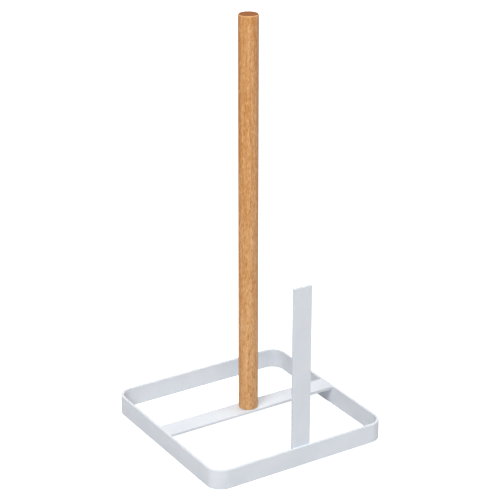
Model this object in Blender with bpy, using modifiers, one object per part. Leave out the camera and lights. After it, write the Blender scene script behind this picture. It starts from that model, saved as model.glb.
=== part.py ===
"""Paper towel holder: a bent flat-bar base with a cross strip and an upright stop strip
welded into it, and a beech dowel held on the cross strip by one screw from below.

Metres, +Z up. The origin is the centre of the base, on the surface that it stands on.
The cross strip runs along X, and the stop strip stands inside the front bar, at -Y.
"""

import math

import bmesh
import bpy
from mathutils import Vector

# Base band: one flat bar standing on its edge, bent into a rounded square
BASE_SIDE = 0.1500
BAND_HEIGHT = 0.0153
BAR_THICKNESS = 0.0022
CORNER_RADIUS = 0.0125
CORNER_SEGMENTS = 12

# Strips welded inside the band
CROSS_WIDTH = 0.0162
STOP_WIDTH = 0.0154
STOP_FOOT = 0.0010
STOP_TOP = 0.1421

# Softened edges of all the flat bar
EDGE_ROUND = 0.0004
EDGE_SEGMENTS = 2
SHARP_ANGLE = math.radians(50)

# Beech dowel, a standing round bar with a pilot hole in its foot
HOLDER_HEIGHT = 0.3230
DOWEL_RADIUS = 0.0074
DOWEL_EDGE = 0.0006
DOWEL_EDGE_STEPS = 3
DOWEL_STEPS = 56

# Pan-head screw through the cross strip into the dowel
SCREW_RADIUS = 0.0020
SCREW_REACH = 0.0300
SCREW_POINT = 0.0050
HEAD_RADIUS = 0.0038
HEAD_HEIGHT = 0.0024
HEAD_CROWN = 0.0010
CROWN_STEPS = 4
SCREW_STEPS = 32
RECESS_SPAN = 0.0042
RECESS_WIDTH = 0.0011
RECESS_DEPTH = 0.0014

# Weld beads in the inner corners
BEAD_RADIUS = 0.0011
CROSS_BEAD_LENGTH = 0.0128
STOP_BEAD_FOOT = 0.0030
STOP_BEAD_TOP = 0.0115

# Space kept between pieces that touch on the real object
FIT_GAP = 0.0003
MERGE_DISTANCE = 0.00001

INNER_HALF = BASE_SIDE / 2 - BAR_THICKNESS
CROSS_UNDERSIDE = BAND_HEIGHT - BAR_THICKNESS
DOWEL_FOOT = BAND_HEIGHT + FIT_GAP
HEAD_SEAT = CROSS_UNDERSIDE - FIT_GAP
HOLE_RADIUS = SCREW_RADIUS + FIT_GAP
PILOT_TOP = HEAD_SEAT + SCREW_REACH + FIT_GAP


def clear_scene():
    for old in list(bpy.data.objects):
        bpy.data.objects.remove(old, do_unlink=True)


def new_collection(name):
    collection = bpy.data.collections.new(name)
    bpy.context.scene.collection.children.link(collection)
    return collection


def new_material(name, color, roughness, metallic=0.0):
    material = bpy.data.materials.new(name)
    material.use_nodes = True
    shader = material.node_tree.nodes["Principled BSDF"]
    shader.inputs["Base Color"].default_value = (*color, 1.0)
    shader.inputs["Roughness"].default_value = roughness
    shader.inputs["Metallic"].default_value = metallic
    return material


def new_object(name, mesh, collection):
    obj = bpy.data.objects.new(name, mesh)
    collection.objects.link(obj)
    return obj


def move_to(obj, collection):
    for old in list(obj.users_collection):
        old.objects.unlink(obj)
    collection.objects.link(obj)


def finish_part(obj, material, location):
    """Give a sub-part its material and place, and parent it to the holder's origin."""
    obj.data.materials.append(material)
    obj.location = location
    obj.parent = origin
    return obj


def mesh_from(name, bm):
    mesh = bpy.data.meshes.new(name)
    bm.to_mesh(mesh)
    bm.free()
    return mesh


def box_mesh(name, size):
    bm = bmesh.new()
    bmesh.ops.create_cube(bm, size=1.0)
    bmesh.ops.scale(bm, vec=size, verts=bm.verts)
    return mesh_from(name, bm)


def soften_edges(obj):
    bevel = obj.modifiers.new("softened_edges", "BEVEL")
    bevel.width = EDGE_ROUND
    bevel.segments = EDGE_SEGMENTS
    bevel.limit_method = "ANGLE"
    bevel.angle_limit = SHARP_ANGLE


def cut_away(obj, cutter):
    cutter.hide_render = True
    cutter.display_type = "WIRE"
    cut = obj.modifiers.new(cutter.name, "BOOLEAN")
    cut.operation = "DIFFERENCE"
    cut.solver = "EXACT"
    cut.object = cutter


def turned_part(name, profile, steps):
    """Turn a profile of (radius, height) points, from the top of the axis to its foot."""
    bm = bmesh.new()
    points = [bm.verts.new((radius, 0.0, height)) for radius, height in profile]
    for upper, lower in zip(points, points[1:]):
        bm.edges.new((upper, lower))
    obj = new_object(name, mesh_from(name, bm), parts)
    screw = obj.modifiers.new("turning", "SCREW")
    screw.axis = "Z"
    screw.angle = math.tau
    screw.steps = steps
    screw.render_steps = steps
    screw.use_smooth_shade = True
    screw.use_merge_vertices = True
    screw.merge_threshold = MERGE_DISTANCE
    return obj


def eased_edge(height, upper):
    """Profile points of the dowel's small rounding at an end, read downwards."""
    points = []
    for step in range(DOWEL_EDGE_STEPS + 1):
        angle = math.radians(90) * step / DOWEL_EDGE_STEPS
        across, along = math.sin(angle), math.cos(angle)
        radius = DOWEL_RADIUS - DOWEL_EDGE
        if upper:
            point = (radius + DOWEL_EDGE * across, height - DOWEL_EDGE * (1 - along))
        else:
            point = (radius + DOWEL_EDGE * along, height + DOWEL_EDGE * (1 - across))
        points.append(point)
    return points


def base_band():
    """The bent flat bar: a square tube with rounded corners, thickened inwards."""
    bm = bmesh.new()
    bmesh.ops.create_cube(bm, size=1.0)
    bmesh.ops.scale(bm, vec=(BASE_SIDE, BASE_SIDE, BAND_HEIGHT), verts=bm.verts)
    upright_edges = [
        edge
        for edge in bm.edges
        if abs(edge.verts[0].co.z - edge.verts[1].co.z) > BAND_HEIGHT / 2
    ]
    bmesh.ops.bevel(
        bm,
        geom=upright_edges,
        affect="EDGES",
        offset=CORNER_RADIUS,
        offset_type="OFFSET",
        segments=CORNER_SEGMENTS,
        profile=0.5,
        material=-1,
    )
    lids = [face for face in bm.faces if abs(face.normal.z) > 0.5]
    bmesh.ops.delete(bm, geom=lids, context="FACES_ONLY")
    mesh = mesh_from("base_band", bm)
    mesh.shade_smooth()
    mesh.set_sharp_from_angle(angle=SHARP_ANGLE)
    obj = new_object("base_band", mesh, parts)
    wall = obj.modifiers.new("bar_thickness", "SOLIDIFY")
    wall.thickness = BAR_THICKNESS
    wall.offset = -1.0
    wall.use_even_offset = True
    soften_edges(obj)
    return finish_part(obj, white_paint_band, (0.0, 0.0, BAND_HEIGHT / 2))


def cross_strip():
    """The flat strip that lies across the middle, level with the rim of the band."""
    length = 2 * (INNER_HALF - FIT_GAP)
    mesh = box_mesh("cross_strip", (length, CROSS_WIDTH, BAR_THICKNESS))
    obj = new_object("cross_strip", mesh, parts)
    soften_edges(obj)
    bpy.ops.mesh.primitive_cylinder_add(
        vertices=SCREW_STEPS, radius=HOLE_RADIUS, depth=4 * BAR_THICKNESS
    )
    hole = bpy.context.object
    hole.name = "screw_hole"
    hole.location.z = BAND_HEIGHT - BAR_THICKNESS / 2
    move_to(hole, cutters)
    cut_away(obj, hole)
    return finish_part(obj, white_paint_cross, (0.0, 0.0, BAND_HEIGHT - BAR_THICKNESS / 2))


def stop_strip():
    """The upright strip behind the front bar, which the paper is torn against."""
    height = STOP_TOP - STOP_FOOT
    mesh = box_mesh("stop_strip", (STOP_WIDTH, BAR_THICKNESS, height))
    obj = new_object("stop_strip", mesh, parts)
    soften_edges(obj)
    depth = -INNER_HALF + FIT_GAP + BAR_THICKNESS / 2
    return finish_part(obj, white_paint_stop, (0.0, depth, STOP_FOOT + height / 2))


def dowel():
    """The round post, with eased ends and a blind pilot hole up its foot."""
    length = HOLDER_HEIGHT - DOWEL_FOOT
    profile = [(0.0, length)]
    profile += eased_edge(length, upper=True)
    profile += eased_edge(0.0, upper=False)
    profile += [
        (HOLE_RADIUS, 0.0),
        (HOLE_RADIUS, PILOT_TOP - DOWEL_FOOT),
        (0.0, PILOT_TOP - DOWEL_FOOT + HOLE_RADIUS / 2),
    ]
    obj = turned_part("dowel", profile, DOWEL_STEPS)
    return finish_part(obj, beech, (0.0, 0.0, DOWEL_FOOT))


def dowel_screw():
    """The screw, point up, with its origin where the head bears on the strip."""
    profile = [
        (0.0, SCREW_REACH),
        (SCREW_RADIUS, SCREW_REACH - SCREW_POINT),
        (SCREW_RADIUS, 0.0),
        (HEAD_RADIUS, 0.0),
    ]
    for step in range(CROWN_STEPS):
        angle = math.radians(90) * step / CROWN_STEPS
        rise = HEAD_CROWN * (1 - math.sin(angle))
        profile.append((HEAD_RADIUS * math.cos(angle), rise - HEAD_HEIGHT))
    profile.append((0.0, -HEAD_HEIGHT))
    obj = turned_part("dowel_screw", profile, SCREW_STEPS)
    for name, size in (
        ("recess_long", (RECESS_SPAN, RECESS_WIDTH, 2 * RECESS_DEPTH)),
        ("recess_wide", (RECESS_WIDTH, RECESS_SPAN, 2 * RECESS_DEPTH)),
    ):
        slot = new_object(name, box_mesh(name, size), cutters)
        slot.location.z = HEAD_SEAT - HEAD_HEIGHT
        cut_away(obj, slot)
    return finish_part(obj, plated_steel, (0.0, 0.0, HEAD_SEAT))


def weld_bead(name, start, end):
    """A short round bead, laid as a straight run from start to end."""
    middle = (Vector(start) + Vector(end)) / 2
    curve = bpy.data.curves.new(name, "CURVE")
    curve.dimensions = "3D"
    curve.bevel_depth = BEAD_RADIUS
    curve.bevel_resolution = 2
    curve.use_fill_caps = True
    run = curve.splines.new("POLY")
    run.points.add(1)
    run.points[0].co = (*(Vector(start) - middle), 1.0)
    run.points[1].co = (*(Vector(end) - middle), 1.0)
    obj = new_object(name, curve, parts)
    return finish_part(obj, white_paint_weld, middle)


def weld_beads():
    """Four beads: under the cross strip's two ends and beside the stop strip's foot."""
    inset = FIT_GAP + BEAD_RADIUS
    for side, name in ((-1, "left"), (1, "right")):
        end = side * (INNER_HALF - inset)
        level = CROSS_UNDERSIDE - inset
        half = CROSS_BEAD_LENGTH / 2
        weld_bead(f"cross_weld_{name}", (end, -half, level), (end, half, level))
        beside = side * (STOP_WIDTH / 2 + inset)
        depth = -INNER_HALF + inset
        weld_bead(
            f"stop_weld_{name}",
            (beside, depth, STOP_BEAD_FOOT),
            (beside, depth, STOP_BEAD_TOP),
        )


clear_scene()
parts = new_collection("paper_towel_holder")
cutters = new_collection("cutters")
origin = new_object("holder_origin", None, parts)

WHITE = (0.86, 0.87, 0.88)
white_paint_band = new_material("white_paint_band", WHITE, 0.42)
white_paint_cross = new_material("white_paint_cross", WHITE, 0.42)
white_paint_stop = new_material("white_paint_stop", WHITE, 0.42)
white_paint_weld = new_material("white_paint_weld", WHITE, 0.48)
beech = new_material("beech", (0.66, 0.38, 0.17), 0.55)
plated_steel = new_material("plated_steel", (0.62, 0.63, 0.65), 0.30, metallic=1.0)

base_band()
cross_strip()
stop_strip()
dowel()
dowel_screw()
weld_beads()
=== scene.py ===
"""A paper towel holder: painted flat-bar stand, beech dowel and the screw that joins them."""

import math

import bmesh
import bpy
from mathutils import Matrix, Quaternion, Vector


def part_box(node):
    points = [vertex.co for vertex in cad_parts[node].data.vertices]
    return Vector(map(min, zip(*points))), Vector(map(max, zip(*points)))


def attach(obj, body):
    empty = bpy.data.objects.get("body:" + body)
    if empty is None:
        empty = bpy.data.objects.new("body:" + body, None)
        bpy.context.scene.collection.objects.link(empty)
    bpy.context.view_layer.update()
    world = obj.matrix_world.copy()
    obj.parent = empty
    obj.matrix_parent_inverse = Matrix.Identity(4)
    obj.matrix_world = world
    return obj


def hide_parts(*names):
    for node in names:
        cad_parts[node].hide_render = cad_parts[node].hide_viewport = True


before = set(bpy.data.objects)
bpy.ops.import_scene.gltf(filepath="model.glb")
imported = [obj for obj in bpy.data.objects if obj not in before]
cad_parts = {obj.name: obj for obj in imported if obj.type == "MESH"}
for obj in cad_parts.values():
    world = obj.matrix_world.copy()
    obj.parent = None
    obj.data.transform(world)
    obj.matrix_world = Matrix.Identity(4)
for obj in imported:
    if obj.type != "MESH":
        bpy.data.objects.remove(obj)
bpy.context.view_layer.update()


# ---------------------------------------------------------------------------------------
# The base band. One flat steel bar, standing on its edge, is bent round a former into a
# square with rounded corners. Its ends are butt welded and dressed, and the whole stand
# is then powder coated satin white, which leaves a fine orange peel and soft edges.
# ---------------------------------------------------------------------------------------

MM = 0.001
band_low, band_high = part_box("base_band")
cross_low, cross_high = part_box("cross_strip")
BAR_THICKNESS = cross_high.z - cross_low.z
BAND_CORNER_RADIUS = 12.5 * MM
BAND_CORNER_STEPS = 24
PAINTED_EDGE = 0.28 * MM
PAINTED_EDGE_STEPS = 4
FOLD_ANGLE = math.radians(50)
INNER_FACE = band_high.x - BAR_THICKNESS
PAINT_WHITE = (0.800, 0.842, 0.905, 1.0)
PAINT_SHADE = (0.765, 0.812, 0.882, 1.0)
DUST_GREY = (0.45, 0.45, 0.46, 1.0)
DUST_STRENGTH = 0.10
PAINT_GLOSSY = 0.40
PAINT_DULL = 0.52
PAINT_SPECULAR = 0.45
PAINT_PEEL_PER_MM = 0.85
PAINT_PEEL_DEPTH = 0.006 * MM


def wire(tree, kind, inputs, **settings):
    """Add a node with its settings, and link or set each of its inputs."""
    made = tree.nodes.new(kind)
    for name, value in settings.items():
        setattr(made, name, value)
    for name, value in inputs.items():
        if isinstance(value, bpy.types.NodeSocket):
            tree.links.new(value, made.inputs[name])
        else:
            made.inputs[name].default_value = value
    return made


def noise_value(tree, vector, scale, detail=2.0, roughness=0.5, stretch=(1, 1, 1)):
    """Noise on millimetre coordinates: scale is in features per millimetre."""
    stretched = wire(tree, "ShaderNodeMapping", {"Vector": vector, "Scale": stretch})
    inputs = {
        "Vector": stretched.outputs["Vector"],
        "Scale": scale,
        "Detail": detail,
        "Roughness": roughness,
    }
    return wire(tree, "ShaderNodeTexNoise", inputs).outputs["Fac"]


def calculate(tree, operation, first, second=0.0):
    """One sum on two values."""
    return wire(tree, "ShaderNodeMath", {0: first, 1: second}, operation=operation).outputs[0]


def ramped(tree, value, start, end, low=0.0, high=1.0):
    """Value taken smoothly from low to high between start and end."""
    inputs = {"Value": value, "From Min": start, "From Max": end, "To Min": low, "To Max": high}
    smooth = wire(tree, "ShaderNodeMapRange", inputs, interpolation_type="SMOOTHSTEP")
    return smooth.outputs["Result"]


def mixed(tree, amount, first, second):
    """A mix of two colours, by an amount from 0 to 1."""
    made = tree.nodes.new("ShaderNodeMix")
    made.data_type = "RGBA"
    for socket, value in ((0, amount), (6, first), (7, second)):
        if isinstance(value, bpy.types.NodeSocket):
            tree.links.new(value, made.inputs[socket])
        else:
            made.inputs[socket].default_value = value
    return made.outputs[2]


def millimetres(tree):
    """The piece's own coordinates, in millimetres."""
    coordinates = tree.nodes.new("ShaderNodeTexCoord")
    scaled = wire(
        tree,
        "ShaderNodeMapping",
        {"Vector": coordinates.outputs["Object"], "Scale": (1 / MM, 1 / MM, 1 / MM)},
    )
    return scaled.outputs["Vector"], coordinates.outputs["Normal"]


def new_material(name):
    material = bpy.data.materials.new(name)
    material.use_nodes = True
    tree = material.node_tree
    return material, tree, tree.nodes["Principled BSDF"]


DRIFTS_PER_MM = 0.045
CLOUDS_PER_MM = 0.16
FINE_PEEL_RATIO = 3.1
FINE_PEEL_SHARE = 0.3
SPECKS_PER_MM = 1.7
SPECK_RANGE = (0.73, 0.80)


def coated_surface_group():
    """Unevenness of a coat: drifts of shade, changes of gloss, and a peel of given size."""
    group = bpy.data.node_groups.new("coated_surface", "ShaderNodeTree")
    face = group.interface
    for name, kind in (("Place", "NodeSocketVector"), ("Peel per mm", "NodeSocketFloat")):
        face.new_socket(name=name, in_out="INPUT", socket_type=kind)
    for name in ("Drift", "Gloss", "Peel", "Specks"):
        face.new_socket(name=name, in_out="OUTPUT", socket_type="NodeSocketFloat")
    start = group.nodes.new("NodeGroupInput")
    end = group.nodes.new("NodeGroupOutput")
    place = start.outputs["Place"]
    drift = noise_value(group, place, DRIFTS_PER_MM, 3.0, 0.55)
    gloss = noise_value(group, place, CLOUDS_PER_MM, 4.0, 0.6)
    peel_place = wire(
        group,
        "ShaderNodeVectorMath",
        {0: place, "Scale": start.outputs["Peel per mm"]},
        operation="SCALE",
    )
    broad_peel = noise_value(group, peel_place.outputs["Vector"], 1.0, 2.0, 0.5)
    fine_peel = noise_value(group, peel_place.outputs["Vector"], FINE_PEEL_RATIO, 2.0, 0.6)
    fine_share = calculate(group, "MULTIPLY", fine_peel, FINE_PEEL_SHARE)
    peel = calculate(group, "ADD", broad_peel, fine_share)
    specks = ramped(group, noise_value(group, place, SPECKS_PER_MM, 1.0, 0.5), *SPECK_RANGE)
    for name, value in (("Drift", drift), ("Gloss", gloss), ("Peel", peel), ("Specks", specks)):
        group.links.new(value, end.inputs[name])
    return group


def coated_surface(tree, place, peel_per_mm):
    """Place the coat's group in a material, and give its outputs."""
    made = wire(tree, "ShaderNodeGroup", {}, node_tree=COATED_SURFACE)
    tree.links.new(place, made.inputs["Place"])
    made.inputs["Peel per mm"].default_value = peel_per_mm
    return made.outputs


def bumped(tree, height, distance, under=None):
    """A normal for a relief of the given depth, over another normal if one is given."""
    inputs = {"Height": height, "Distance": distance, "Strength": 1.0}
    if under is not None:
        inputs["Normal"] = under
    return wire(tree, "ShaderNodeBump", inputs).outputs["Normal"]


def satin_white_powder_coat():
    material, tree, shader = new_material("satin_white_powder_coat")
    place, _ = millimetres(tree)
    coat = coated_surface(tree, place, PAINT_PEEL_PER_MM)
    shade = ramped(tree, coat["Drift"], 0.35, 0.65)
    colour = mixed(tree, shade, PAINT_WHITE, PAINT_SHADE)
    dust = calculate(tree, "MULTIPLY", coat["Specks"], DUST_STRENGTH)
    dusted = mixed(tree, dust, colour, DUST_GREY)
    gloss = ramped(tree, coat["Gloss"], 0.3, 0.7, PAINT_GLOSSY, PAINT_DULL)
    tree.links.new(dusted, shader.inputs["Base Color"])
    tree.links.new(gloss, shader.inputs["Roughness"])
    tree.links.new(bumped(tree, coat["Peel"], PAINT_PEEL_DEPTH), shader.inputs["Normal"])
    shader.inputs["Specular IOR Level"].default_value = PAINT_SPECULAR
    return material


def new_piece(name, shape, material, node):
    """Show a shape as the piece that stands for a CAD node."""
    mesh = bpy.data.meshes.new(name)
    shape.to_mesh(mesh)
    shape.free()
    mesh.shade_smooth()
    mesh.materials.append(material)
    piece = bpy.data.objects.new(name, mesh)
    bpy.context.scene.collection.objects.link(piece)
    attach(piece, "root")
    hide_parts(node)
    return piece


def true_flats(piece):
    """Keep the flats of a smoothly shaded piece flat, and its small roundings round."""
    flats = piece.modifiers.new("true_flats", "WEIGHTED_NORMAL")
    flats.mode = "FACE_AREA"
    flats.weight = 80
    flats.keep_sharp = True


def round_edges(shape, edges, width, steps):
    bmesh.ops.bevel(
        shape,
        geom=edges,
        affect="EDGES",
        offset=width,
        offset_type="OFFSET",
        segments=steps,
        profile=0.5,
        material=-1,
    )


def folds(shape):
    """The edges where two faces meet at more than the fold angle."""
    return [edge for edge in shape.edges if edge.calc_face_angle(0.0) > FOLD_ANGLE]


def block(low, high):
    """A bmesh box between two corners."""
    shape = bmesh.new()
    bmesh.ops.create_cube(shape, size=1.0)
    bmesh.ops.scale(shape, vec=high - low, verts=shape.verts)
    bmesh.ops.translate(shape, vec=(low + high) / 2, verts=shape.verts)
    return shape


def upright_edges(shape):
    """The four corner edges of the band before it is hollow."""
    return [
        edge
        for edge in shape.edges
        if abs(edge.verts[0].co.z - edge.verts[1].co.z) > (band_high.z - band_low.z) / 2
    ]


def bent_band():
    """A rounded block, its top and underside opened inside the bar's thickness."""
    shape = block(band_low, band_high)
    round_edges(shape, upright_edges(shape), BAND_CORNER_RADIUS, BAND_CORNER_STEPS)
    shape.normal_update()
    top = [face for face in shape.faces if face.normal.z > 0.5]
    bmesh.ops.inset_region(
        shape, faces=top, thickness=BAR_THICKNESS, use_even_offset=True, use_boundary=True
    )
    bottom = [face for face in shape.faces if face.normal.z < -0.5]
    bmesh.ops.inset_region(
        shape, faces=bottom, thickness=BAR_THICKNESS, use_even_offset=True, use_boundary=True
    )
    lids = top + bottom
    rims = [edge for lid in lids for edge in lid.edges]
    bmesh.ops.delete(shape, geom=lids, context="FACES_ONLY")
    bmesh.ops.bridge_loops(shape, edges=rims)
    bmesh.ops.recalc_face_normals(shape, faces=shape.faces)
    round_edges(shape, folds(shape), PAINTED_EDGE, PAINTED_EDGE_STEPS)
    return shape


COATED_SURFACE = coated_surface_group()
PAINT = satin_white_powder_coat()

band = new_piece("bent_band", bent_band(), PAINT, "base_band")
true_flats(band)


# ---------------------------------------------------------------------------------------
# The cross strip. A length of the same flat bar, laid flat between the sides of the band
# and welded level with the rim. A plain hole is drilled in its middle for the screw.
# ---------------------------------------------------------------------------------------

STRIP_END_SINK = PAINTED_EDGE * 0.8
SCREW_HOLE_RADIUS = 2.3 * MM
DRILL_LENGTH = 100.0 * MM
DRILL_SIDES = 48


def long_edges(shape, axis):
    """A box's edges that run along an axis, given by its number."""
    return [
        edge
        for edge in shape.edges
        if abs((edge.verts[0].co - edge.verts[1].co).normalized()[axis]) > 0.9
    ]


def carve(piece, tool_shape, operation="DIFFERENCE"):
    """Cut a tool's shape out of a piece, or join it on, and leave no modifier behind."""
    tool_mesh = bpy.data.meshes.new("tool")
    tool_shape.to_mesh(tool_mesh)
    tool_shape.free()
    tool = bpy.data.objects.new("tool", tool_mesh)
    bpy.context.scene.collection.objects.link(tool)
    cut = piece.modifiers.new("carve", "BOOLEAN")
    cut.operation = operation
    cut.solver = "EXACT"
    cut.object = tool
    carved = bpy.data.meshes.new_from_object(
        piece.evaluated_get(bpy.context.evaluated_depsgraph_get())
    )
    piece.modifiers.remove(cut)
    piece.data = carved
    bpy.data.objects.remove(tool)


def drill(radius):
    shape = bmesh.new()
    bmesh.ops.create_cone(
        shape,
        cap_ends=True,
        segments=DRILL_SIDES,
        radius1=radius,
        radius2=radius,
        depth=DRILL_LENGTH,
    )
    return shape


def flat_cross_strip():
    reach = INNER_FACE + STRIP_END_SINK
    low = Vector((-reach, cross_low.y, cross_low.z))
    high = Vector((reach, cross_high.y, cross_high.z))
    shape = block(low, high)
    round_edges(shape, long_edges(shape, 0), PAINTED_EDGE, PAINTED_EDGE_STEPS)
    return shape


cross = new_piece("flat_cross_strip", flat_cross_strip(), PAINT, "cross_strip")
carve(cross, drill(SCREW_HOLE_RADIUS))
true_flats(cross)


# ---------------------------------------------------------------------------------------
# The stop strip. A cut length of flat bar, stood on end against the inner face of the
# front bar and welded there. Its corners are only broken, not rounded.
# ---------------------------------------------------------------------------------------

stop_low, stop_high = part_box("stop_strip")
SEAM = 0.05 * MM
CUT_EDGE = PAINTED_EDGE * 0.8


def upright_stop_strip():
    shape = block(stop_low, stop_high)
    against_band = SEAM - INNER_FACE - stop_low.y
    bmesh.ops.translate(shape, vec=(0, against_band, 0), verts=shape.verts)
    round_edges(shape, folds(shape), CUT_EDGE, PAINTED_EDGE_STEPS)
    return shape


stop = new_piece("upright_stop_strip", upright_stop_strip(), PAINT, "stop_strip")
true_flats(stop)


# ---------------------------------------------------------------------------------------
# The weld beads. Short runs of weld metal in the hidden corners, under the ends of the
# cross strip and beside the foot of the stop strip. Each shows the ripples of the weld
# pool, and they are coated over with the rest of the stand.
# ---------------------------------------------------------------------------------------

BEAD_RADIUS = 1.25 * MM
BEAD_SINK = 0.8 * MM
BEAD_SIDES = 20
BEAD_RINGS = 72
RIPPLE_PITCH = 1.3 * MM
RIPPLE_DEPTH = 0.07
RIPPLE_LEAN = 0.45 * MM
BEAD_END_TAPER = 0.12
BEAD_LEAST_FULLNESS = 0.1


def weld_bead(start, end, outward):
    """A rippled bead from start to end, whose crown faces outward."""
    run = end - start
    shape = bmesh.new()
    ring = bmesh.ops.create_circle(shape, segments=BEAD_SIDES, radius=1.0)["verts"]
    rings = [ring]
    for _ in range(BEAD_RINGS):
        edges = [edge for edge in shape.edges if all(vert in rings[-1] for vert in edge.verts)]
        extruded = bmesh.ops.extrude_edge_only(shape, edges=edges)["geom"]
        rings.append([item for item in extruded if isinstance(item, bmesh.types.BMVert)])
    laid = run.to_track_quat("Z", "Y")
    for index, ring in enumerate(rings):
        share = index / BEAD_RINGS
        rise = min(share, 1 - share, BEAD_END_TAPER) / BEAD_END_TAPER
        fullness = max(math.sqrt(1 - (1 - rise) ** 2), BEAD_LEAST_FULLNESS)
        wave = math.sin(2 * math.pi * share * run.length / RIPPLE_PITCH)
        radius = BEAD_RADIUS * fullness * (1 + RIPPLE_DEPTH * wave)
        for vert in ring:
            around = laid @ vert.co
            lag = RIPPLE_LEAN * fullness * around.dot(outward) / run.length
            vert.co = start + run * (share - lag) + around * radius
    bmesh.ops.holes_fill(shape, edges=shape.edges, sides=BEAD_SIDES)
    bmesh.ops.recalc_face_normals(shape, faces=shape.faces)
    return shape


def bead_piece(name, start, end, outward, node):
    shape = weld_bead(start, end, outward.normalized())
    new_piece(name, shape, PAINT, node)


for side, sign in (("left", -1), ("right", 1)):
    bead_low, bead_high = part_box(f"cross_weld_{side}")
    corner_x = sign * (INNER_FACE - BEAD_SINK)
    corner_z = cross_low.z - BEAD_SINK
    bead_piece(
        f"cross_bead_{side}",
        Vector((corner_x, bead_low.y, corner_z)),
        Vector((corner_x, bead_high.y, corner_z)),
        Vector((-sign, 0, -1)),
        f"cross_weld_{side}",
    )
    bead_low, bead_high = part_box(f"stop_weld_{side}")
    corner_x = sign * (stop_high.x + BEAD_SINK)
    corner_y = BEAD_SINK - INNER_FACE
    bead_piece(
        f"stop_bead_{side}",
        Vector((corner_x, corner_y, bead_low.z)),
        Vector((corner_x, corner_y, bead_high.z)),
        Vector((sign, 1, 0)),
        f"stop_weld_{side}",
    )


# ---------------------------------------------------------------------------------------
# The dowel. A round beech rod, planed and sanded lengthwise, its ends eased with paper.
# A pilot hole is bored up its foot, and the wood is sealed with one thin matt lacquer.
# ---------------------------------------------------------------------------------------

dowel_low, dowel_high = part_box("dowel")
DOWEL_RADIUS = (dowel_high.x - dowel_low.x) / 2
DOWEL_EASE = 0.95 * MM
DOWEL_EASE_STEPS = 6
DOWEL_STEPS = 96
DOWEL_BAYS = 16
SEAT_GAP = 0.02 * MM
DOWEL_FOOT = cross_high.z + SEAT_GAP
PILOT_DEPTH = 28.0 * MM
PITH_PLACE = (20.0, 33.0, 0.0)
RING_WIDTH = 2.3
RING_WANDER = 9.0
# Painted sheen and painted reflection: a straw tint over the middle and right of the dowel is
# the lacquer's sheen, painted in. A rosy tint down its right side is its grazing reflection,
# painted in. Both are laid across the view along the direction below, and their edge wanders by
# the given distance in millimetres.
SHEEN_WANDER = 9.0
SHEEN_ACROSS_VIEW = (0.843, -0.538, 0.0)
HONEY = (0.605, 0.225, 0.046, 1.0)
PAINTED_SHEEN_STRAW = (0.725, 0.368, 0.138, 1.0)
PAINTED_REFLECTION_ROSY = (0.672, 0.356, 0.182, 1.0)
# A pale tone: pale grain of the wood, and also painted bounce light towards the foot and a
# painted highlight on the eased rims
PALE_GRAIN_AND_PAINTED_LIGHT = (0.870, 0.545, 0.275, 1.0)
LATE_WOOD = (0.580, 0.225, 0.045, 1.0)
RAY_BROWN = (0.360, 0.110, 0.020, 1.0)
END_BROWN = (0.400, 0.160, 0.056, 1.0)
END_DARK = (0.260, 0.088, 0.030, 1.0)

# Each grain: features per millimetre across and along the tree, then detail and roughness
RING_GRAIN = (0.06, 0.010, 2.0, 0.45)
SHEEN_DRIFT_GRAIN = (0.11, 0.006, 2.0, 0.5)
STREAK_GRAIN = (0.60, 0.024, 3.0, 0.55)
MOTTLE_GRAIN = (1.05, 0.29, 3.0, 0.65)
FIBRE_GRAIN = (3.2, 0.16, 3.0, 0.6)
PORES_PER_MM = 5.5

# Each kind of ray fleck: flecks per millimetre across and along, and how far each spreads
BROAD_RAYS = (1.25, 0.24, 0.25)
FINE_RAYS = (2.4, 0.45, 0.26)
RAY_CORE = 0.45

# Each tint: the values where it sets in and is full, then its least and greatest strength
# Painted sheen and painted reflection: where the straw and rosy tints set in and are full, in
# millimetres across the view
PAINTED_SHEEN_SPAN = (-3.0, 4.0)
PAINTED_REFLECTION_SPAN = (5.5, 11.0)
# Painted bounce light from the floor: the side grows paler from 260 mm down to the foot
PAINTED_FLOOR_BOUNCE = (260.0, 0.0, 0.0, 0.52)
PALE_STREAKS = (0.47, 0.70, 0.0, 0.62)
DARK_STREAKS = (0.47, 0.30, 0.0, 0.60)
PALE_MOTTLE = (0.52, 0.70, 0.0, 0.85)
DARK_MOTTLE = (0.50, 0.30, 0.0, 0.90)
DARK_FIBRE = (0.50, 0.30, 0.0, 0.30)
OPEN_PORES = (0.56, 0.68, 0.0, 0.65)
# The end face grows darker towards its rim
DARKER_END_RIM = (4.4, 6.4, 0.0, 0.55)
# Painted highlight: the eased rims at both ends of the dowel are made paler
PAINTED_RIM_HIGHLIGHT = (0.15, 0.55, 0.0, 0.60)
END_FACE = (0.80, 0.97)
LATE_STRENGTH = 0.38
BROAD_RAY_STRENGTH = 0.50
FINE_RAY_STRENGTH = 0.45

LACQUER_PEEL_PER_MM = 0.9
LACQUER_PEEL_DEPTH = 0.004 * MM
LACQUER_GLOSS = (0.3, 0.7, 0.46, 0.60)
GRAIN_DEPTH = 0.012 * MM
FIBRE_RELIEF = 0.7


def grown(tree, place, across, upward, detail, roughness):
    """Noise drawn out up the tree."""
    return noise_value(tree, place, 1.0, detail, roughness, (across, across, upward))


def flat_length(tree, vector):
    """The length of a vector seen from above."""
    flat = wire(
        tree, "ShaderNodeVectorMath", {0: vector, 1: (1.0, 1.0, 0.0)}, operation="MULTIPLY"
    )
    length = wire(tree, "ShaderNodeVectorMath", {0: flat.outputs["Vector"]}, operation="LENGTH")
    return length.outputs["Value"]


def along(tree, vector, direction):
    """How far a vector reaches in a direction."""
    reach = wire(
        tree, "ShaderNodeVectorMath", {0: vector, 1: direction}, operation="DOT_PRODUCT"
    )
    return reach.outputs["Value"]


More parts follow.
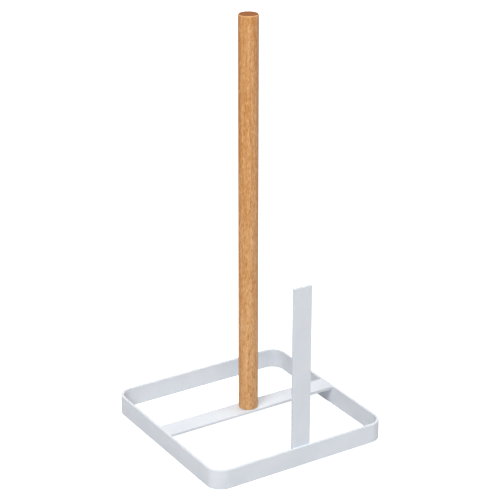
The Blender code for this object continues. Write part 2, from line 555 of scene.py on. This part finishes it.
def growth_rings(tree, place):
    """How far through a year's growth each point lies, from 0 at its start to 1."""
    from_pith = wire(
        tree, "ShaderNodeVectorMath", {0: place, 1: PITH_PLACE}, operation="SUBTRACT"
    )
    distance = flat_length(tree, from_pith.outputs["Vector"])
    wander = calculate(tree, "MULTIPLY", grown(tree, place, *RING_GRAIN), RING_WANDER)
    years = calculate(tree, "DIVIDE", calculate(tree, "ADD", distance, wander), RING_WIDTH)
    return calculate(tree, "FRACT", years)


def ray_flecks(tree, place, across, upward, reach):
    """Short spindle-shaped flecks, where the wood's rays come to the surface."""
    drawn = wire(
        tree, "ShaderNodeMapping", {"Vector": place, "Scale": (across, across, upward)}
    )
    cells = wire(
        tree, "ShaderNodeTexVoronoi", {"Vector": drawn.outputs["Vector"], "Scale": 1.0}
    )
    return ramped(tree, cells.outputs["Distance"], reach, reach * RAY_CORE)


def tinted(tree, colour, tints):
    """Lay tints over a colour, one after another, each by its own amount."""
    for amount, tint in tints:
        colour = mixed(tree, amount, colour, tint)
    return colour


def lacquered_beech():
    material, tree, shader = new_material("lacquered_beech")
    place, facing = millimetres(tree)
    year = growth_rings(tree, place)
    streak = grown(tree, place, *STREAK_GRAIN)
    mottle = grown(tree, place, *MOTTLE_GRAIN)
    fibre = grown(tree, place, *FIBRE_GRAIN)
    broad_rays = ray_flecks(tree, place, *BROAD_RAYS)
    fine_rays = ray_flecks(tree, place, *FINE_RAYS)
    late = calculate(tree, "POWER", year, 5.0)
    height = along(tree, place, (0.0, 0.0, 1.0))
    drift = calculate(tree, "MULTIPLY", grown(tree, place, *SHEEN_DRIFT_GRAIN), SHEEN_WANDER)
    across_view = calculate(tree, "ADD", along(tree, place, SHEEN_ACROSS_VIEW), drift)
    upward = calculate(tree, "ABSOLUTE", along(tree, facing, (0.0, 0.0, 1.0)))
    # Painted light among these tints: the straw and rosy ones across the view are painted sheen
    # and painted reflection. The pale one towards the foot is painted bounce light from the
    # floor, and the pale one on the eased edges is a painted rim highlight. The others are the
    # wood's own grain.
    side_tints = (
        (ramped(tree, across_view, *PAINTED_SHEEN_SPAN), PAINTED_SHEEN_STRAW),
        (ramped(tree, across_view, *PAINTED_REFLECTION_SPAN), PAINTED_REFLECTION_ROSY),
        (ramped(tree, height, *PAINTED_FLOOR_BOUNCE), PALE_GRAIN_AND_PAINTED_LIGHT),
        (ramped(tree, streak, *PALE_STREAKS), PALE_GRAIN_AND_PAINTED_LIGHT),
        (ramped(tree, streak, *DARK_STREAKS), LATE_WOOD),
        (calculate(tree, "MULTIPLY", late, LATE_STRENGTH), LATE_WOOD),
        (ramped(tree, mottle, *PALE_MOTTLE), PALE_GRAIN_AND_PAINTED_LIGHT),
        (ramped(tree, mottle, *DARK_MOTTLE), LATE_WOOD),
        (ramped(tree, fibre, *DARK_FIBRE), RAY_BROWN),
        (calculate(tree, "MULTIPLY", broad_rays, BROAD_RAY_STRENGTH), RAY_BROWN),
        (calculate(tree, "MULTIPLY", fine_rays, FINE_RAY_STRENGTH), RAY_BROWN),
        (ramped(tree, upward, *PAINTED_RIM_HIGHLIGHT), PALE_GRAIN_AND_PAINTED_LIGHT),
    )
    pores = noise_value(tree, place, PORES_PER_MM, 1.0, 0.5)
    end_tints = (
        (calculate(tree, "POWER", year, 3.0), END_DARK),
        (ramped(tree, pores, *OPEN_PORES), END_DARK),
        (ramped(tree, flat_length(tree, place), *DARKER_END_RIM), END_DARK),
    )
    side = tinted(tree, HONEY, side_tints)
    end = tinted(tree, END_BROWN, end_tints)
    colour = mixed(tree, ramped(tree, upward, *END_FACE), side, end)
    lacquer = coated_surface(tree, place, LACQUER_PEEL_PER_MM)
    pits = calculate(
        tree, "ADD", broad_rays, calculate(tree, "MULTIPLY", fibre, -FIBRE_RELIEF)
    )
    grain = bumped(tree, pits, -GRAIN_DEPTH)
    relief = bumped(tree, lacquer["Peel"], LACQUER_PEEL_DEPTH, under=grain)
    gloss = ramped(tree, lacquer["Gloss"], *LACQUER_GLOSS)
    tree.links.new(colour, shader.inputs["Base Color"])
    tree.links.new(gloss, shader.inputs["Roughness"])
    tree.links.new(relief, shader.inputs["Normal"])
    shader.inputs["Specular IOR Level"].default_value = 0.28
    shader.inputs["Coat Weight"].default_value = 0.05
    shader.inputs["Coat Roughness"].default_value = 0.30
    return material


def turned(outline, steps):
    """Spin an outline of (radius, height) points all the way round the Z axis."""
    shape = bmesh.new()
    points = [shape.verts.new((radius, 0, height)) for radius, height in outline]
    edges = [shape.edges.new(pair) for pair in zip(points, points[1:])]
    bmesh.ops.spin(
        shape,
        geom=points + edges,
        axis=(0, 0, 1),
        cent=(0, 0, 0),
        angle=2 * math.pi,
        steps=steps,
        use_merge=True,
    )
    bmesh.ops.remove_doubles(shape, verts=shape.verts, dist=0.001 * MM)
    bmesh.ops.recalc_face_normals(shape, faces=shape.faces)
    return shape


def eased(radius, height, ease, first, last, steps):
    """Points of a quarter round of the given ease, about its own centre."""
    turns = [first + (last - first) * step / steps for step in range(steps + 1)]
    return [(radius + ease * math.cos(turn), height + ease * math.sin(turn)) for turn in turns]


def beech_dowel():
    quarter = math.pi / 2
    middle = DOWEL_RADIUS - DOWEL_EASE
    low = DOWEL_FOOT + DOWEL_EASE
    high = dowel_high.z - DOWEL_EASE
    outline = [(0, DOWEL_FOOT + PILOT_DEPTH), (SCREW_HOLE_RADIUS, DOWEL_FOOT + PILOT_DEPTH)]
    outline += [(SCREW_HOLE_RADIUS, DOWEL_FOOT)]
    outline += eased(middle, low, DOWEL_EASE, -quarter, 0, DOWEL_EASE_STEPS)
    bay = (high - low) / DOWEL_BAYS
    outline += [(DOWEL_RADIUS, low + bay * step) for step in range(1, DOWEL_BAYS)]
    outline += eased(middle, high, DOWEL_EASE, 0, quarter, DOWEL_EASE_STEPS)
    outline += [(0, dowel_high.z)]
    return turned(outline, DOWEL_STEPS)


BEECH = lacquered_beech()
dowel = new_piece("beech_dowel", beech_dowel(), BEECH, "dowel")
dowel.data.set_sharp_from_angle(angle=FOLD_ANGLE)


# ---------------------------------------------------------------------------------------
# The dowel screw. A zinc-plated pan-head screw with a cross recess, driven up through the
# hole in the cross strip into the dowel. Its coarse thread is rolled, down to a point.
# ---------------------------------------------------------------------------------------

screw_low, screw_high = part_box("dowel_screw")
HEAD_RADIUS = (screw_high.x - screw_low.x) / 2
HEAD_TOP = cross_low.z - SEAT_GAP
HEAD_RIM = 1.4 * MM
HEAD_STEPS = 64
HEAD_EDGE = 0.15 * MM
CROWN_STEPS = 8
CREST_RADIUS = 2.0 * MM
CORE_RADIUS = 1.35 * MM
THREAD_PITCH = 1.6 * MM
THREAD_STEPS = 40
THREAD_RIDGE = (
    (CORE_RADIUS, 0.0),
    (CORE_RADIUS, 0.45),
    (CREST_RADIUS, 0.68),
    (CREST_RADIUS, 0.74),
)
THREAD_SINK = 0.3 * MM
THREAD_END = 0.02 * MM
POINT_LENGTH = 5.0 * MM
POINT_FULLNESS = 0.8
RECESS_SPAN = 4.2 * MM
RECESS_WIDTH = 1.0 * MM
RECESS_DEPTH = 1.4 * MM
RECESS_TAPER = 0.45
MEND_REACH = 0.002 * MM
ZINC = (0.60, 0.62, 0.65, 1.0)
ZINC_DULL = (0.44, 0.45, 0.47, 1.0)
ZINC_PEEL_PER_MM = 3.0
ZINC_PEEL_DEPTH = 0.004 * MM
SCUFF_STRETCH = (6.0, 6.0, 0.8)


def zinc_plating():
    material, tree, shader = new_material("zinc_plating")
    place, _ = millimetres(tree)
    plate = coated_surface(tree, place, ZINC_PEEL_PER_MM)
    colour = mixed(tree, ramped(tree, plate["Gloss"], 0.35, 0.65), ZINC, ZINC_DULL)
    scuffs = noise_value(tree, place, 1.0, 3.0, 0.6, SCUFF_STRETCH)
    tree.links.new(colour, shader.inputs["Base Color"])
    tree.links.new(ramped(tree, scuffs, 0.3, 0.7, 0.24, 0.42), shader.inputs["Roughness"])
    tree.links.new(bumped(tree, plate["Peel"], ZINC_PEEL_DEPTH), shader.inputs["Normal"])
    shader.inputs["Metallic"].default_value = 1.0
    return material


def pan_head():
    """The head, crown down, with its flat seat against the strip."""
    crown = screw_low.z
    crown_rise = HEAD_TOP - HEAD_RIM - crown
    outline = [(0, crown)]
    for step in range(1, CROWN_STEPS + 1):
        turn = math.pi / 2 * step / CROWN_STEPS
        outline.append((HEAD_RADIUS * math.sin(turn), crown + crown_rise * (1 - math.cos(turn))))
    outline += [(HEAD_RADIUS, HEAD_TOP - HEAD_EDGE), (HEAD_RADIUS - HEAD_EDGE, HEAD_TOP)]
    outline += [(0, HEAD_TOP)]
    return turned(outline, HEAD_STEPS)


def rolled_thread():
    """A threaded core: one ridge outline, spun once round while it climbs one pitch."""
    foot = HEAD_TOP - THREAD_PITCH
    count = math.ceil((screw_high.z - foot) / THREAD_PITCH) + 1
    shape = bmesh.new()
    points = []
    for turn in range(count):
        base = foot + turn * THREAD_PITCH
        for reach, rise in THREAD_RIDGE:
            points.append(shape.verts.new((reach, 0, base + rise * THREAD_PITCH)))
    edges = [shape.edges.new(pair) for pair in zip(points, points[1:])]
    bmesh.ops.spin(
        shape,
        geom=points + edges,
        axis=(0, 0, 1),
        cent=(0, 0, 0),
        dvec=(0, 0, THREAD_PITCH / THREAD_STEPS),
        angle=2 * math.pi,
        steps=THREAD_STEPS,
    )
    bmesh.ops.remove_doubles(shape, verts=shape.verts, dist=0.001 * MM)
    for level, side in ((HEAD_TOP - THREAD_SINK, -1), (screw_high.z - THREAD_END, 1)):
        bmesh.ops.bisect_plane(
            shape,
            geom=shape.verts[:] + shape.edges[:] + shape.faces[:],
            dist=0.0001 * MM,
            plane_co=(0, 0, level),
            plane_no=(0, 0, side),
            clear_outer=True,
        )
    bmesh.ops.holes_fill(shape, edges=shape.edges, sides=0)
    for vert in shape.verts:
        left = max(screw_high.z - vert.co.z, 0.0) / POINT_LENGTH
        taper = min(1.0, left) ** POINT_FULLNESS
        vert.co.x *= taper
        vert.co.y *= taper
    bmesh.ops.recalc_face_normals(shape, faces=shape.faces)
    return shape


def recess_arm(turn):
    """One tapering arm of the driver's cross, standing in the crown of the head."""
    shape = bmesh.new()
    bmesh.ops.create_cube(shape, size=1.0)
    bmesh.ops.scale(shape, vec=(RECESS_SPAN, RECESS_WIDTH, 2 * RECESS_DEPTH), verts=shape.verts)
    deep = [vert for vert in shape.verts if vert.co.z > 0]
    bmesh.ops.scale(shape, vec=(RECESS_TAPER, 1, 1), verts=deep)
    bmesh.ops.rotate(
        shape, cent=(0, 0, 0), matrix=Matrix.Rotation(turn, 3, "Z"), verts=shape.verts
    )
    bmesh.ops.translate(shape, vec=(0, 0, screw_low.z), verts=shape.verts)
    return shape


def mend(piece):
    """Close the slivers that carving leaves, and cut every face into sound triangles."""
    shape = bmesh.new()
    shape.from_mesh(piece.data)
    bmesh.ops.remove_doubles(shape, verts=shape.verts, dist=MEND_REACH)
    bmesh.ops.dissolve_degenerate(shape, edges=shape.edges, dist=MEND_REACH)
    bmesh.ops.triangulate(shape, faces=shape.faces, quad_method="BEAUTY", ngon_method="BEAUTY")
    bmesh.ops.dissolve_degenerate(shape, edges=shape.edges, dist=MEND_REACH)
    shape.to_mesh(piece.data)
    shape.free()


screw = new_piece("pan_head_screw", pan_head(), zinc_plating(), "dowel_screw")
for turn in (0, math.pi / 2):
    carve(screw, recess_arm(turn))
carve(screw, rolled_thread(), "UNION")
mend(screw)
screw.data.set_sharp_from_angle(angle=FOLD_ANGLE)


# ---------------------------------------------------------------------------------------
# The studio. A plain white floor, five soft boxes round the holder and a camera on its
# left front, a little above it. None of this belongs to the object.
# ---------------------------------------------------------------------------------------

FLOOR_HALF = 6.0
FLOOR_GREY = (0.53, 0.53, 0.53, 1.0)
FLOOR_GLOW = 0.14
FLOOR_SHOWN = 0.95
WHITE = (1.0, 1.0, 1.0, 1.0)


def pale_floor():
    """A white sweep: it looks bright to the eye, and throws a little light on the object."""
    shape = bmesh.new()
    bmesh.ops.create_grid(shape, x_segments=1, y_segments=1, size=FLOOR_HALF)
    mesh = bpy.data.meshes.new("floor")
    shape.to_mesh(mesh)
    shape.free()
    floor = bpy.data.objects.new("floor", mesh)
    bpy.context.scene.collection.objects.link(floor)
    material, tree, shader = new_material("pale_floor")
    path = tree.nodes.new("ShaderNodeLightPath")
    glow = ramped(tree, path.outputs["Is Camera Ray"], 0.0, 1.0, FLOOR_GLOW, FLOOR_SHOWN)
    shader.inputs["Base Color"].default_value = FLOOR_GREY
    shader.inputs["Roughness"].default_value = 0.9
    shader.inputs["Emission Color"].default_value = WHITE
    shader.inputs["Specular IOR Level"].default_value = 0.0
    tree.links.new(glow, shader.inputs["Emission Strength"])
    mesh.materials.append(material)


LIT_PLACE = Vector((0.0, 0.0, 0.1))
BOX_DISTANCE = 4.0
BOX_SIZE = 1.8
PLAIN_LIGHT = (1.0, 1.0, 1.0)
WARM_LIGHT = (1.0, 0.975, 0.93)
SOFT_BOXES = (
    ("key_box", -60, 45, 80.0, PLAIN_LIGHT),
    ("low_box", -30, 18, 22.0, PLAIN_LIGHT),
    ("side_box", 60, 45, 43.0, PLAIN_LIGHT),
    ("high_box", -30, 68, 49.0, WARM_LIGHT),
    ("rear_box", 150, 68, 54.0, WARM_LIGHT),
)
AMBIENT_LIGHT = 0.02
BACKDROP_SHOWN = 1.1


def toward(azimuth, elevation):
    """The direction to something seen at an azimuth and elevation, in degrees."""
    around = math.radians(azimuth)
    up = math.radians(elevation)
    return Vector(
        (math.sin(around) * math.cos(up), -math.cos(around) * math.cos(up), math.sin(up))
    )


def soft_box(name, azimuth, elevation, watts, tint):
    """A square lamp, seen from the holder at an azimuth and elevation, and turned to it."""
    light = bpy.data.lights.new(name, "AREA")
    light.shape = "SQUARE"
    light.size = BOX_SIZE
    light.energy = watts
    light.color = tint
    lamp = bpy.data.objects.new(name, light)
    back = toward(azimuth, elevation)
    lamp.location = LIT_PLACE + back * BOX_DISTANCE
    lamp.rotation_mode = "QUATERNION"
    lamp.rotation_quaternion = (-back).to_track_quat("-Z", "Y")
    bpy.context.scene.collection.objects.link(lamp)


def studio_world():
    """A faint light from all round, with a white backdrop for the eye."""
    world = bpy.data.worlds.new("studio")
    world.use_nodes = True
    tree = world.node_tree
    tree.nodes.clear()
    ambient = wire(tree, "ShaderNodeBackground", {"Color": WHITE, "Strength": AMBIENT_LIGHT})
    backdrop = wire(tree, "ShaderNodeBackground", {"Color": WHITE, "Strength": BACKDROP_SHOWN})
    path = tree.nodes.new("ShaderNodeLightPath")
    shown = tree.nodes.new("ShaderNodeMixShader")
    tree.links.new(path.outputs["Is Camera Ray"], shown.inputs[0])
    tree.links.new(ambient.outputs[0], shown.inputs[1])
    tree.links.new(backdrop.outputs[0], shown.inputs[2])
    output = tree.nodes.new("ShaderNodeOutputWorld")
    tree.links.new(shown.outputs[0], output.inputs["Surface"])
    bpy.context.scene.world = world


CAMERA_AZIMUTH = -32.26
CAMERA_ELEVATION = 22.77
CAMERA_ROLL = math.radians(0.058)
CAMERA_DISTANCE = 1.2317
CAMERA_AIM = Vector((0.0010, -0.0007, 0.1448))
CAMERA_LENS_MM = 120.42


def studio_camera():
    back = toward(CAMERA_AZIMUTH, CAMERA_ELEVATION)
    camera = bpy.data.objects.new("camera", bpy.data.cameras.new("camera"))
    camera.data.lens = CAMERA_LENS_MM
    camera.data.sensor_width = 36.0
    camera.data.clip_end = 50.0
    camera.location = CAMERA_AIM + back * CAMERA_DISTANCE
    camera.rotation_mode = "QUATERNION"
    tilt = Quaternion((0, 0, 1), CAMERA_ROLL)
    camera.rotation_quaternion = (-back).to_track_quat("-Z", "Y") @ tilt
    bpy.context.scene.collection.objects.link(camera)
    bpy.context.scene.camera = camera


pale_floor()
studio_world()
for box in SOFT_BOXES:
    soft_box(*box)
studio_camera()
bpy.context.scene.view_settings.view_transform = "Standard"
